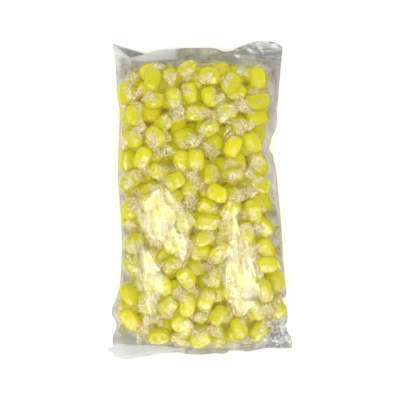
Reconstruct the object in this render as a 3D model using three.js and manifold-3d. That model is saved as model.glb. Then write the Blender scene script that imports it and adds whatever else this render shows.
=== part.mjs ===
// A clear pillow bag packed with twist-wrapped ginger hard candies, lying on its back.
// Millimetres. X runs across the bag, Y towards its top seal and Z up from what it lies on.
// The candies are dropped into the pillow one by one, and the film is then pulled tight over
// them, so each bump on the bag is a candy or the crumpled end of its wrapper.

import * as THREE from "three";
import { mergeVertices } from "three/addons/utils/BufferGeometryUtils.js";
import Module from "manifold-3d";

// ---- Driving dimensions ----

const CANDY = { length: 22, width: 18, thickness: 13 };
const NECK = { reach: 12.6, radius: 2 }; // where the wrapper is twisted, from the candy's middle
const FILM_GAP = 0.6; // wrapper and bag film over a candy
// Empty film between a candy and the bag's outline: wider low on the left and high on the right.
const MARGIN = {
  left: 1.5,
  lowLeft: 8, // from 20 mm below lowFrom
  lowFrom: -105,
  lowOver: 20,
  right: 1,
  highRight: 8, // from 25 mm above highFrom
  highFrom: -75,
  highOver: 25,
  end: 0.5,
};

const PILLOW = {
  thickness: 48, // at the fullest
  lowThickness: 39, // nearer the bottom seal
  slopeFrom: 10, // between these two the top slopes down
  slopeTo: -115,
  edgeHeight: 19, // of the side fold above the surface
  sideRound: 18, // how far in from the side fold the underside meets the surface
  endRound: 28, // the same, from an end seal
  sideShoulder: 78, // how far in from the side fold the top reaches its full height
  endShoulder: 58, // the same, from an end seal
  fullness: 2.7, // how square the shoulders are: 2 is an ellipse
  slack: 7, // how far the film may sink below its fullest shape
};
const FOLD_THICKNESS = 1.2; // two plies of film where the bag is pressed shut
const FLAT_SINK = 0.9; // how much of the rounded underside the surface flattens
const SEAL = { ribs: 4, ribHeight: 0.45, rootHeight: 12.5, edgeHeight: 9 };
const WAVE = { height: 3.2, span: 13, swellSpan: 31, swellStart: 1.1 }; // of the seals, from side to side

// Outline of the bag as it lies, seen from above.
const LEFT_FOLD = [ // [y, x] from the bottom seal to the top seal
  [-168, -91.2], [-160.5, -91.6], [-159.3, -97.4], [-156.2, -97.4], [-155, -91.8], [-144, -91.6],
  [-138, -89.2], [-132, -87.2], [-126, -89.6], [-119, -92.4], [-112, -91.4], [-106, -88.8],
  [-98, -86], [-90, -83.8], [-80, -83], [-48, -81.8], [-4, -83.8], [30, -86], [50, -85.4],
  [84, -84.2], [96, -84.2], [104, -86], [118, -87.2], [132, -88], [150, -89.6], [158, -91.5],
];
const RIGHT_FOLD = [
  [-158, 97.4], [-148, 97], [-144, 95.8], [-140, 92.8], [-132, 90.8], [-124, 92.2], [-114, 91.8],
  [-109, 88.6], [-105, 86], [-101, 90], [-96, 91], [-88, 89.8], [-80, 88.8], [-55, 87.2],
  [-12, 84.2], [14, 81.6], [33, 79.8], [42, 77.4], [47, 76.6], [54.6, 72.4], [60, 74.2],
  [67, 76], [74, 79.6], [82, 81.2], [90, 80.8], [98, 81.4], [112, 82.8], [120, 83.4],
  [140, 85.2], [152, 86.6], [158, 87.4],
];
const TOP_EDGE = [ // [x, y] from left to right
  [-92, 165.2], [-84, 159.8], [-75, 158.6], [-66, 156.4], [-58, 154.4], [-49, 156.8],
  [-40, 158.6], [-24, 159.4], [-15, 160.6], [2, 160.6], [19, 159.6], [29, 156.4], [36, 157.2],
  [45, 161.4], [54, 165], [63, 167.4], [71, 168.2], [80, 167], [87, 165], [92, 161.5],
];
const TOP_ROOT = [[-92, 151], [-58, 145], [-25, 146.5], [19, 146.5], [36, 144.5], [62, 151], [88, 149]];
const BOTTOM_EDGE = [
  [-92, -164.5], [-85, -167.6], [-76, -168.2], [-60, -165.8], [-44, -162.4], [-27, -161.4],
  [-11, -163.4], [-2, -163.4], [14, -161.6], [22, -162.2], [30, -159], [38, -159],
  [47, -160.2], [55, -159], [63, -157], [71, -156], [80, -157], [92, -157],
];
const BOTTOM_ROOT = [[-97, -151], [-50, -152], [-15, -156], [30, -155.5], [60, -152.5], [97, -149]];

const HALF_LENGTH = 150; // of the pillow between the seals' roots, for the mesh's rows
const HALF_WIDTH = 92; // of the seals, for the mesh's columns
const COLUMNS = 40;
const ROWS = 66;
const STEPS_A_RIB = 2;
const DRAPE_PASSES = 30;

// Packing: each candy is the best of many random places. The draw is seeded.
const SEED = 20261;
const PLACES_TRIED = 300;
const FAILURES_ALLOWED = 30;
const MOST_CANDIES = 240;
const MOST_TILT = 0.42;
const LEANING_GAP = 0.05; // left beside a candy that leans against a side

// ---- Curves ----

const lerp = (a, b, t) => a + (b - a) * t;
const share = (t) => Math.min(1, Math.max(0, t));

// A smooth curve through the points that never overshoots them: a monotone cubic.
function curveThrough(points) {
  const slopes = points.slice(1).map((p, i) => (p[1] - points[i][1]) / (p[0] - points[i][0]));
  const tangents = points.map((_, i) => {
    const [before, after] = [slopes[i - 1] ?? slopes[0], slopes[i] ?? slopes[i - 1]];
    return before * after > 0 ? (2 * before * after) / (before + after) : 0;
  });
  const last = points.length - 1;
  return (at) => {
    const a = Math.min(Math.max(at, points[0][0]), points[last][0]);
    let i = 0;
    while (i < last - 1 && a > points[i + 1][0]) i += 1;
    const [x0, y0] = points[i];
    const [x1, y1] = points[i + 1];
    const w = x1 - x0;
    const t = (a - x0) / w;
    return y0 * (1 + 2 * t) * (1 - t) ** 2 + y1 * t * t * (3 - 2 * t)
      + w * t * (1 - t) * (tangents[i] * (1 - t) - tangents[i + 1] * t);
  };
}

const leftFold = curveThrough(LEFT_FOLD);
const rightFold = curveThrough(RIGHT_FOLD);
const topEdge = curveThrough(TOP_EDGE);
const topRoot = curveThrough(TOP_ROOT);
const bottomEdge = curveThrough(BOTTOM_EDGE);
const bottomRoot = curveThrough(BOTTOM_ROOT);

// ---- The pillow's envelope, as heights over the plan ----

const sideDistance = (x, y) => Math.min(x - leftFold(y), rightFold(y) - x);
const endDistance = (x, y) => Math.min(y - bottomRoot(x), topRoot(x) - y);

// 1 well inside the pillow, falling to 0 on its outline along a rounded shoulder.
function shoulder(x, y, side, end, power) {
  const a = Math.max(0, 1 - sideDistance(x, y) / side);
  const b = Math.max(0, 1 - endDistance(x, y) / end);
  return (1 - Math.min(1, a ** power + b ** power)) ** (1 / power);
}

// How high the side folds and the seals' roots stand above the surface.
function foldHeight(y) {
  const t = Math.min(1, Math.abs(y) / HALF_LENGTH);
  return lerp(PILLOW.edgeHeight, SEAL.rootHeight, t ** 3);
}

function thicknessAt(y) {
  const t = (PILLOW.slopeFrom - y) / (PILLOW.slopeFrom - PILLOW.slopeTo);
  return lerp(PILLOW.thickness, PILLOW.lowThickness, share(t));
}

function floorHeight(x, y) {
  return foldHeight(y) * (1 - shoulder(x, y, PILLOW.sideRound, PILLOW.endRound, 2));
}

function ceilingHeight(x, y) {
  const full = shoulder(x, y, PILLOW.sideShoulder, PILLOW.endShoulder, PILLOW.fullness);
  return lerp(foldHeight(y), thicknessAt(y), full);
}

// ---- Dropping the candies into the pillow ----

// How far a place of the plan is inside each side's and each end's margin.
const lowShare = (y) => share((MARGIN.lowFrom - y) / MARGIN.lowOver);
const highShare = (y) => share((y - MARGIN.highFrom) / MARGIN.highOver);
const leftRoom = (x, y) => x - leftFold(y) - lerp(MARGIN.left, MARGIN.lowLeft, lowShare(y));
const rightRoom = (x, y) => rightFold(y) - x - lerp(MARGIN.right, MARGIN.highRight, highShare(y));
const bottomRoom = (x, y) => y - bottomRoot(x) - MARGIN.end;
const topRoom = (x, y) => topRoot(x) - y - MARGIN.end;

function isInside(x, y, r) {
  return Math.min(leftRoom(x, y), rightRoom(x, y), bottomRoom(x, y), topRoom(x, y)) > r;
}

// A linear congruential draw of numbers from 0 to 1.
function randomFrom(seed) {
  const [factor, addend, range] = [1664525, 1013904223, 2 ** 32];
  let state = seed;
  return () => {
    state = (state * factor + addend) % range;
    return state / range;
  };
}

// A wrapped candy as balls: five for the flat oval candy, one for each neck of its wrapper.
const BALL = CANDY.thickness / 2;
const BALLS = [
  ...[-1, 1].flatMap((a) => [-1, 1].map((b) => (
    [a * (CANDY.length / 2 - BALL), b * (CANDY.width / 2 - BALL), BALL]))),
  [0, 0, BALL],
  ...[-1, 1].map((a) => [a * NECK.reach, 0, NECK.radius]),
];

// The balls' places relative to the candy's middle, for a heading, a tilt and a roll.
function ballsOf({ heading, tilt, roll }) {
  const [ch, sh, ct, st] = [Math.cos(heading), Math.sin(heading), Math.cos(tilt), Math.sin(tilt)];
  const along = [ch * ct, sh * ct, st];
  const across = [
    -sh * Math.cos(roll) - ch * st * Math.sin(roll),
    ch * Math.cos(roll) - sh * st * Math.sin(roll),
    ct * Math.sin(roll),
  ];
  return BALLS.map(([a, b, r]) => [
    a * along[0] + b * across[0], a * along[1] + b * across[1], a * along[2] + b * across[2], r]);
}

// The balls laid so far, kept by the square of the plan they stand in.
class Pile {
  cell = CANDY.thickness;
  squares = new Map();
  balls = [];

  add(ball) {
    const key = `${Math.floor(ball[0] / this.cell)},${Math.floor(ball[1] / this.cell)}`;
    if (!this.squares.has(key)) this.squares.set(key, []);
    this.squares.get(key).push(ball);
    this.balls.push(ball);
  }

  * near(x, y) {
    const [i, j] = [Math.floor(x / this.cell), Math.floor(y / this.cell)];
    for (let a = i - 1; a <= i + 1; a += 1) {
      for (let b = j - 1; b <= j + 1; b += 1) yield* this.squares.get(`${a},${b}`) ?? [];
    }
  }
}

// Moves a candy that sticks out past a side or an end in, until it leans against that.
function leanInwards(place, balls) {
  const excess = (room) => {
    const most = Math.max(...balls.map(([dx, dy, , r]) => r - room(place.x + dx, place.y + dy)));
    return most > 0 ? most + LEANING_GAP : 0;
  };
  place.x += excess(leftRoom);
  place.x -= excess(rightRoom);
  place.y += excess(bottomRoom);
  place.y -= excess(topRoom);
}

// The lowest height at which the candy rests on the floor and on the pile.
function restingHeight(x, y, balls, pile) {
  let z = 0;
  for (const [dx, dy, dz, r] of balls) {
    z = Math.max(z, floorHeight(x + dx, y + dy) + r - dz);
    for (const [bx, by, bz, br] of pile.near(x + dx, y + dy)) {
      const reach = (r + br) ** 2 - (x + dx - bx) ** 2 - (y + dy - by) ** 2;
      if (reach > 0) z = Math.max(z, bz + Math.sqrt(reach) - dz);
    }
  }
  return z;
}

function packCandies() {
  const random = randomFrom(SEED);
  const pile = new Pile();
  let laid = 0;
  let failures = 0;
  while (failures < FAILURES_ALLOWED && laid < MOST_CANDIES) {
    let best = null;
    for (let i = 0; i < PLACES_TRIED; i += 1) {
      const place = {
        x: lerp(-HALF_WIDTH, HALF_WIDTH, random()),
        y: lerp(-HALF_LENGTH, HALF_LENGTH, random()),
        heading: Math.PI * random(),
        tilt: MOST_TILT * (2 * random() - 1),
        roll: (Math.PI / 2) * (2 * random() - 1) ** 3,
      };
      const balls = ballsOf(place);
      leanInwards(place, balls);
      if (!balls.every(([dx, dy, , r]) => isInside(place.x + dx, place.y + dy, r))) continue;
      const z = restingHeight(place.x, place.y, balls, pile);
      const fits = balls.every(([dx, dy, dz, r]) => (
        z + dz + r < ceilingHeight(place.x + dx, place.y + dy)));
      if (fits && (!best || z < best.z)) best = { ...place, z, balls };
    }
    if (!best) {
      failures += 1;
      continue;
    }
    failures = 0;
    laid += 1;
    for (const [dx, dy, dz, r] of best.balls) pile.add([best.x + dx, best.y + dy, best.z + dz, r]);
  }
  return pile;
}

// ---- The film, pulled tight over the candies ----

const sealWave = (x) => (
  WAVE.height * Math.sin(x / WAVE.span) * Math.sin(x / WAVE.swellSpan + WAVE.swellStart));

// Mesh columns and rows: the rows of the two seals are one rib's steps apart.
const SEAL_ROWS = SEAL.ribs * STEPS_A_RIB;
const ALL_ROWS = ROWS + 2 * SEAL_ROWS;

// The plan position and, on a seal, the share of the way from its root to its cut edge.
function gridPoint(i, j) {
  const u = i / COLUMNS;
  const nominalX = lerp(-HALF_WIDTH, HALF_WIDTH, u);
  const [low, high] = [bottomRoot(nominalX), topRoot(nominalX)];
  let y;
  let onSeal = 0;
  if (j < SEAL_ROWS) {
    onSeal = 1 - j / SEAL_ROWS;
    y = lerp(low, bottomEdge(nominalX), onSeal);
  } else if (j > SEAL_ROWS + ROWS) {
    onSeal = (j - SEAL_ROWS - ROWS) / SEAL_ROWS;
    y = lerp(high, topEdge(nominalX), onSeal);
  } else {
    y = lerp(low, high, (j - SEAL_ROWS) / ROWS);
  }
  return { x: lerp(leftFold(y), rightFold(y), u), y, onSeal };
}

// Height of the film over each grid point if nothing but the candies held it up.
function supportHeight(x, y, pile) {
  let top = ceilingHeight(x, y) - PILLOW.slack;
  for (const [bx, by, bz, r] of pile.near(x, y)) {
    const reach = (r + FILM_GAP) ** 2 - (x - bx) ** 2 - (y - by) ** 2;
    if (reach > 0) top = Math.max(top, bz + Math.sqrt(reach));
  }
  return top;
}

function sealHeight(x, onSeal) {
  const turn = onSeal * SEAL.ribs * 2 * Math.PI;
  const rib = SEAL.ribHeight * Math.cos(turn) * Math.min(1, 4 * onSeal);
  return lerp(SEAL.rootHeight, SEAL.edgeHeight, onSeal) + sealWave(x) * onSeal + rib;
}

function filmHeights(pile) {
  const points = [];
  for (let j = 0; j <= ALL_ROWS; j += 1) {
    for (let i = 0; i <= COLUMNS; i += 1) {
      const p = gridPoint(i, j);
      const rim = i === 0 || i === COLUMNS;
      const fold = p.onSeal > 0 ? sealHeight(p.x, p.onSeal) : foldHeight(p.y);
      const under = p.onSeal > 0 ? fold - FOLD_THICKNESS / 2
        : Math.min(floorHeight(p.x, p.y), fold - FOLD_THICKNESS / 2);
      const support = p.onSeal > 0 || rim ? 0 : supportHeight(p.x, p.y, pile);
      const free = p.onSeal === 0 && !rim && j > SEAL_ROWS && j < SEAL_ROWS + ROWS;
      points.push({
        ...p, free, under, least: Math.max(under + FOLD_THICKNESS, support), top: under + FOLD_THICKNESS,
      });
    }
  }
  const width = COLUMNS + 1;
  for (const p of points) if (p.free) p.top = p.least;
  for (let pass = 0; pass < DRAPE_PASSES; pass += 1) {
    points.forEach((p, k) => {
      if (!p.free) return;
      const around = points[k - 1].top + points[k + 1].top + points[k - width].top + points[k + width].top;
      p.top = Math.max(p.least, around / 4);
    });
  }
  return points;
}

// ---- The solid ----

function bagGeometry(points) {
  const width = COLUMNS + 1;
  const count = points.length;
  const positions = [
    ...points.flatMap((p) => [p.x, p.y, p.top]),
    ...points.flatMap((p) => [p.x, p.y, p.free ? p.under - FLAT_SINK : p.under]),
  ];
  const faces = [];
  const quad = (a, b, c, d) => faces.push(a, b, c, a, c, d);
  for (let j = 0; j < ALL_ROWS; j += 1) {
    for (let i = 0; i < COLUMNS; i += 1) {
      const k = j * width + i;
      quad(k, k + 1, k + 1 + width, k + width);
      quad(count + k, count + k + width, count + k + 1 + width, count + k + 1);
    }
  }
  for (let j = 0; j < ALL_ROWS; j += 1) {
    const left = j * width;
    const right = left + COLUMNS;
    quad(left, left + width, count + left + width, count + left);
    quad(right + width, right, count + right, count + right + width);
  }
  for (let i = 0; i < COLUMNS; i += 1) {
    const far = ALL_ROWS * width + i;
    quad(i + 1, i, count + i, count + i + 1);
    quad(far, far + 1, count + far + 1, count + far);
  }
  return new THREE.BufferGeometry()
    .setAttribute("position", new THREE.Float32BufferAttribute(positions, 3))
    .setIndex(faces);
}

const wasm = await Module();
wasm.setup();

function solidOf(geometry) {
  geometry.deleteAttribute("normal");
  geometry.deleteAttribute("uv");
  const merged = mergeVertices(geometry);
  return new wasm.Manifold(new wasm.Mesh({
    numProp: 3,
    vertProperties: merged.attributes.position.array,
    triVerts: new Uint32Array(merged.index.array),
  }));
}

function geometryOf(solid) {
  const mesh = solid.getMesh();
  return new THREE.BufferGeometry()
    .setAttribute("position", new THREE.Float32BufferAttribute(mesh.vertProperties, 3))
    .setIndex([...mesh.triVerts]);
}

// What the bag lies on, which presses its underside flat.
function surfaceBlock() {
  const depth = 20;
  const block = new THREE.BoxGeometry(4 * HALF_WIDTH, 4 * HALF_LENGTH, depth);
  block.translate(0, 0, -depth / 2);
  return block;
}

function candyBag() {
  const bag = solidOf(bagGeometry(filmHeights(packCandies()))).subtract(solidOf(surfaceBlock()));
  const film = new THREE.MeshStandardMaterial({ color: 0xd6cb5a, roughness: 0.25, metalness: 0 });
  const mesh = new THREE.Mesh(geometryOf(bag), film);
  mesh.name = "candy_bag";
  return mesh;
}

const part = new THREE.Group();
part.add(candyBag());

export default part;
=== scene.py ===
"""A clear pillow bag packed with twist-wrapped ginger hard candies, lying on its back.

Lengths are in millimetres until a mesh is made. X runs across the bag, Y towards its top seal
and Z up from what it lies on. The candies lie where the solid's own lumps are: both come from
the same packing rule and the same seeded draw.
"""

import math

import bpy
import numpy as np
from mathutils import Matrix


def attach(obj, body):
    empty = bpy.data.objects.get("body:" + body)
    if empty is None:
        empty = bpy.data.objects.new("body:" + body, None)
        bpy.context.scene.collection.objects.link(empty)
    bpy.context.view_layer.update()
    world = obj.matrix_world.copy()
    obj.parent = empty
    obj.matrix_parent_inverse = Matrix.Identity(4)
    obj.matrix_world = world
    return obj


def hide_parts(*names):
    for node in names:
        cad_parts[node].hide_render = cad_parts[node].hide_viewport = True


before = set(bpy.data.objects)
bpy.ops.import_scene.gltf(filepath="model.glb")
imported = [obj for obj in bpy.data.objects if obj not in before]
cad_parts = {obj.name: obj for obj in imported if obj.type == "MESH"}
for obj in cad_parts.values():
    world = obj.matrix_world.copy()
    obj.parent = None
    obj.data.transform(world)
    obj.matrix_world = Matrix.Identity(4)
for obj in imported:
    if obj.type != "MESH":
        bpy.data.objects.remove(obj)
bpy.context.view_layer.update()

MM = 0.001

# ---- The candies and the pillow ----

CANDY_LENGTH, CANDY_WIDTH, CANDY_THICKNESS = 22.0, 18.0, 13.0
NECK_REACH, NECK_RADIUS = 12.6, 2.0
# Empty film between a candy and the bag's outline: wider low on the left and high on the right.
LEFT_MARGIN, LOW_LEFT_MARGIN, RIGHT_MARGIN, HIGH_RIGHT_MARGIN, END_MARGIN = 1.5, 8.0, 1.0, 8.0, 0.5
LOW_FROM, LOW_OVER, HIGH_FROM, HIGH_OVER = -105.0, 20.0, -75.0, 25.0
FILM_GAP = 1.7

THICKNESS, LOW_THICKNESS, SLOPE_FROM, SLOPE_TO = 48.0, 39.0, 10.0, -115.0
EDGE_HEIGHT = 19.0
SIDE_ROUND, END_ROUND = 18.0, 28.0
SIDE_SHOULDER, END_SHOULDER, FULLNESS = 78.0, 58.0, 2.7
SLACK = 7.0
SEAL_RIBS, RIB_HEIGHT = 7, 0.3
SEAL_ROOT, SEAL_EDGE = 12.5, 9.0
WAVE_HEIGHT, WAVE_SPAN, SWELL_SPAN, SWELL_START = 3.2, 13.0, 31.0, 1.1  # of the seals, from side to side

LEFT_FOLD = [
    (-168, -91.2), (-160.5, -91.6), (-159.3, -97.4), (-156.2, -97.4), (-155, -91.8), (-144, -91.6),
    (-138, -89.2), (-132, -87.2), (-126, -89.6), (-119, -92.4), (-112, -91.4), (-106, -88.8),
    (-98, -86), (-90, -83.8), (-80, -83), (-48, -81.8), (-4, -83.8), (30, -86), (50, -85.4),
    (84, -84.2), (96, -84.2), (104, -86), (118, -87.2), (132, -88), (150, -89.6), (158, -91.5),
]
RIGHT_FOLD = [
    (-158, 97.4), (-148, 97), (-144, 95.8), (-140, 92.8), (-132, 90.8), (-124, 92.2), (-114, 91.8),
    (-109, 88.6), (-105, 86), (-101, 90), (-96, 91), (-88, 89.8), (-80, 88.8), (-55, 87.2),
    (-12, 84.2), (14, 81.6), (33, 79.8), (42, 77.4), (47, 76.6), (54.6, 72.4), (60, 74.2),
    (67, 76), (74, 79.6), (82, 81.2), (90, 80.8), (98, 81.4), (112, 82.8), (120, 83.4),
    (140, 85.2), (152, 86.6), (158, 87.4),
]
TOP_EDGE = [
    (-92, 165.2), (-84, 159.8), (-75, 158.6), (-66, 156.4), (-58, 154.4), (-49, 156.8),
    (-40, 158.6), (-24, 159.4), (-15, 160.6), (2, 160.6), (19, 159.6), (29, 156.4), (36, 157.2),
    (45, 161.4), (54, 165), (63, 167.4), (71, 168.2), (80, 167), (87, 165), (92, 161.5),
]
TOP_ROOT = [(-92, 151), (-58, 145), (-25, 146.5), (19, 146.5), (36, 144.5), (62, 151), (88, 149)]
BOTTOM_EDGE = [
    (-92, -164.5), (-85, -167.6), (-76, -168.2), (-60, -165.8), (-44, -162.4), (-27, -161.4),
    (-11, -163.4), (-2, -163.4), (14, -161.6), (22, -162.2), (30, -159), (38, -159),
    (47, -160.2), (55, -159), (63, -157), (71, -156), (80, -157), (92, -157),
]
BOTTOM_ROOT = [(-97, -151), (-50, -152), (-15, -156), (30, -155.5), (60, -152.5), (97, -149)]
HALF_LENGTH, HALF_WIDTH = 150.0, 92.0

SEED = 20261
PLACES_TRIED, FAILURES_ALLOWED, MOST_CANDIES = 300, 30, 240
MOST_TILT = 0.42
LEANING_GAP = 0.05
NO_TOUCH = -1e3  # the height a candy falls to where no other is under it, far below the table
DRAW_FACTOR, DRAW_STEP, DRAW_SPAN = 1664525, 1013904223, 4294967296


def lerp(a, b, t):
    return a + (b - a) * t


def share(value, start, over):
    """How much of the way a value has gone from start, over a distance that may be negative."""
    return np.clip((value - start) / over, 0, 1)


def curve_through(points):
    """A smooth curve through the points that never overshoots them: a monotone cubic."""
    xs, ys = np.array(points, float).T
    slopes = np.diff(ys) / np.diff(xs)
    before, after = np.append(slopes[0], slopes), np.append(slopes, slopes[-1])
    same = before * after > 0
    tangents = np.where(same, 2 * before * after / np.where(same, before + after, 1), 0)

    def at(values):
        a = np.clip(values, xs[0], xs[-1])
        i = np.clip(np.searchsorted(xs, a, "left") - 1, 0, len(xs) - 2)
        w = xs[i + 1] - xs[i]
        t = (a - xs[i]) / w
        steep = tangents[i] * (1 - t) - tangents[i + 1] * t
        level = ys[i] * (1 + 2 * t) * (1 - t) ** 2 + ys[i + 1] * t * t * (3 - 2 * t)
        return level + w * t * (1 - t) * steep

    return at


left_fold, right_fold = curve_through(LEFT_FOLD), curve_through(RIGHT_FOLD)
top_edge, top_root = curve_through(TOP_EDGE), curve_through(TOP_ROOT)
bottom_edge, bottom_root = curve_through(BOTTOM_EDGE), curve_through(BOTTOM_ROOT)


def side_distance(x, y):
    return np.minimum(x - left_fold(y), right_fold(y) - x)


def end_distance(x, y):
    return np.minimum(y - bottom_root(x), top_root(x) - y)


def shoulder(x, y, side, end, power):
    """1 well inside the pillow, falling to 0 on its outline along a rounded shoulder."""
    a = np.maximum(0, 1 - side_distance(x, y) / side)
    b = np.maximum(0, 1 - end_distance(x, y) / end)
    return (1 - np.minimum(1, a**power + b**power)) ** (1 / power)


def fold_height(y):
    t = np.minimum(1, np.abs(y) / HALF_LENGTH)
    return lerp(EDGE_HEIGHT, SEAL_ROOT, t**3)


def thickness_at(y):
    t = (SLOPE_FROM - y) / (SLOPE_FROM - SLOPE_TO)
    return lerp(THICKNESS, LOW_THICKNESS, np.minimum(1, np.maximum(0, t)))


def floor_height(x, y):
    return fold_height(y) * (1 - shoulder(x, y, SIDE_ROUND, END_ROUND, 2))


def ceiling_height(x, y):
    full = shoulder(x, y, SIDE_SHOULDER, END_SHOULDER, FULLNESS)
    return lerp(fold_height(y), thickness_at(y), full)


# ---- Dropping the candies into the pillow ----

BALL = CANDY_THICKNESS / 2
BALLS = np.array(
    [(a * (CANDY_LENGTH / 2 - BALL), b * (CANDY_WIDTH / 2 - BALL), BALL) for a in (-1, 1) for b in (-1, 1)]
    + [(0, 0, BALL)]
    + [(a * NECK_REACH, 0, NECK_RADIUS) for a in (-1, 1)]
)


def left_room(x, y):
    """How far a place of the plan is inside the left side's margin, and so on for the others."""
    return x - left_fold(y) - lerp(LEFT_MARGIN, LOW_LEFT_MARGIN, share(y, LOW_FROM, -LOW_OVER))


def right_room(x, y):
    return right_fold(y) - x - lerp(RIGHT_MARGIN, HIGH_RIGHT_MARGIN, share(y, HIGH_FROM, HIGH_OVER))


def bottom_room(x, y):
    return y - bottom_root(x) - END_MARGIN


def top_room(x, y):
    return top_root(x) - y - END_MARGIN


def lean_inwards(x, y, offset, r):
    """Candies that stick out past a side or an end, moved in until they lean against it."""

    def excess(room):
        most = (r - room(x[:, None] + offset[..., 0], y[:, None] + offset[..., 1])).max(1)
        return np.where(most > 0, most + LEANING_GAP, 0)

    x = x + excess(left_room)
    x = x - excess(right_room)
    y = y + excess(bottom_room)
    y = y - excess(top_room)
    return x, y


def is_inside(x, y, r):
    rooms = [room(x, y) for room in (left_room, right_room, bottom_room, top_room)]
    return np.minimum.reduce(rooms) > r


def random_from(state):
    """The same seeded draw from 0 to 1 that the solid's candies are laid by."""
    while True:
        state = (state * DRAW_FACTOR + DRAW_STEP) % DRAW_SPAN
        yield state / DRAW_SPAN


def axes_of(heading, tilt, roll):
    """The candy's own directions, along and across, for arrays of angles."""
    ch, sh, ct, st = np.cos(heading), np.sin(heading), np.cos(tilt), np.sin(tilt)
    cr, sr = np.cos(roll), np.sin(roll)
    along = np.stack([ch * ct, sh * ct, st], -1)
    across = np.stack([-sh * cr - ch * st * sr, ch * cr - sh * st * sr, ct * sr], -1)
    return along, across


def pack_candies():
    """Each candy's middle and directions, as rows of x, y, z and two unit vectors."""
    draw = random_from(SEED)
    laid = np.zeros((0, 4))
    candies = []
    failures = 0
    r = BALLS[:, 2]
    while failures < FAILURES_ALLOWED and len(candies) < MOST_CANDIES:
        t = np.array([next(draw) for _ in range(5 * PLACES_TRIED)]).reshape(-1, 5)
        x, y = lerp(-HALF_WIDTH, HALF_WIDTH, t[:, 0]), lerp(-HALF_LENGTH, HALF_LENGTH, t[:, 1])
        tilt, roll = MOST_TILT * (2 * t[:, 3] - 1), math.pi / 2 * (2 * t[:, 4] - 1) ** 3
        along, across = axes_of(math.pi * t[:, 2], tilt, roll)
        offset = BALLS[None, :, 0, None] * along[:, None] + BALLS[None, :, 1, None] * across[:, None]
        x, y = lean_inwards(x, y, offset, r)
        px, py, dz = x[:, None] + offset[..., 0], y[:, None] + offset[..., 1], offset[..., 2]
        inside = is_inside(px, py, r).all(1)
        x, y, px, py, dz = x[inside], y[inside], px[inside], py[inside], dz[inside]
        along, across = along[inside], across[inside]
        z = np.maximum(0, (floor_height(px, py) + r - dz).max(1))
        if len(laid):
            d2 = (px[..., None] - laid[:, 0]) ** 2 + (py[..., None] - laid[:, 1]) ** 2
            reach = (r[:, None] + laid[:, 3]) ** 2 - d2
            touch = np.where(reach > 0, laid[:, 2] + np.sqrt(np.maximum(reach, 0)), NO_TOUCH)
            z = np.maximum(z, (touch - dz[..., None]).max((1, 2)))
        fits = (z[:, None] + dz + r < ceiling_height(px, py)).all(1)
        if not fits.any():
            failures += 1
            continue
        failures = 0
        best = np.argmin(np.where(fits, z, np.inf))
        candies.append([x[best], y[best], z[best], *along[best], *across[best]])
        laid = np.vstack([laid, np.stack([px[best], py[best], z[best] + dz[best], r], -1)])
    return np.array(candies)


# ---- Small tools ----

looks = np.random.RandomState(711)
LATTICE, NOISE_START = 64, (31.7, 29.3)  # random values a side, and where in them the plan's middle lies


def smooth_noise(x, y, size, seed):
    """Smooth noise from -1 to 1 over the plan, with lumps of about the given size."""
    lattice = np.random.RandomState(seed).uniform(-1, 1, (LATTICE, LATTICE))
    gx, gy = np.asarray(x) / size + NOISE_START[0], np.asarray(y) / size + NOISE_START[1]
    ix, iy = np.floor(gx).astype(int), np.floor(gy).astype(int)
    fx, fy = gx - ix, gy - iy
    fx, fy = fx * fx * (3 - 2 * fx), fy * fy * (3 - 2 * fy)
    ix, iy, next_x, next_y = ix % LATTICE, iy % LATTICE, (ix + 1) % LATTICE, (iy + 1) % LATTICE
    near = lerp(lattice[ix, iy], lattice[next_x, iy], fx)
    far = lerp(lattice[ix, next_y], lattice[next_x, next_y], fx)
    return lerp(near, far, fy)


def grid_faces(rows, columns, wrap=False):
    """Quads over a grid of points stored row by row; wrap joins the last column to the first."""
    i = np.arange(columns if wrap else columns - 1)
    j = np.arange(rows - 1)[:, None] * columns
    here, right = j + i, j + (i + 1) % columns
    return np.stack([here, right, right + columns, here + columns], -1).reshape(-1, 4)


def triangles(quads):
    """Each quad cut in two, by one diagonal or the other in turn."""
    a, b, c, d = quads.T
    odd = np.arange(len(quads)) % 2 == 1
    first = np.where(odd[:, None], np.stack([a, b, c], -1), np.stack([a, b, d], -1))
    second = np.where(odd[:, None], np.stack([a, c, d], -1), np.stack([b, c, d], -1))
    return np.vstack([first, second])


def make_mesh(name, points, faces, material, smooth=True, values=None, face_values=None):
    """A mesh object from points in millimetres, with named numbers for its points and its faces."""
    mesh = bpy.data.meshes.new(name)
    mesh.from_pydata((points * MM).tolist(), [], faces.tolist())
    mesh.polygons.foreach_set("use_smooth", [smooth] * len(mesh.polygons))
    for domain, table in (("POINT", values), ("FACE", face_values)):
        for key, numbers in (table or {}).items():
            layer = mesh.attributes.new(key, "FLOAT", domain)
            layer.data.foreach_set("value", np.asarray(numbers, np.float32).ravel())
    mesh.update()
    piece = bpy.data.objects.new(name, mesh)
    bpy.context.scene.collection.objects.link(piece)
    mesh.materials.append(material)
    return piece


# ---- Candies ----

BLUNT, ROUND = 0.62, 0.78  # superellipsoid powers, along and around the candy
LEAST_SIZE, MOST_SIZE = (0.95, 0.88, 0.94), (1.04, 0.97, 1.03)  # of the nominal length, width, thickness
DENTS, DENT_FROM, DENT_OVER, DENT_DEPTH = 5, 0.62, 0.5, (0.03, 0.10)  # as shares of a candy's half size
TO_THE_POLES = 0.999  # the end rings stop just short of the ends
CANDY_LOWEST, SLEEVE_LOWEST = 0.4, 0.3
candies = pack_candies()
count = len(candies)
middles, along, across = candies[:, :3], candies[:, 3:6], candies[:, 6:9]
upward = np.cross(along, across)
flipped = upward[:, 2] < 0
upward[flipped] *= -1
across[flipped] *= -1
half_sizes = np.array([CANDY_LENGTH, CANDY_WIDTH, CANDY_THICKNESS]) / 2
half_sizes = half_sizes * looks.uniform(LEAST_SIZE, MOST_SIZE, (count, 3))


def power(value, exponent):
    return np.sign(value) * np.abs(value) ** exponent


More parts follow.
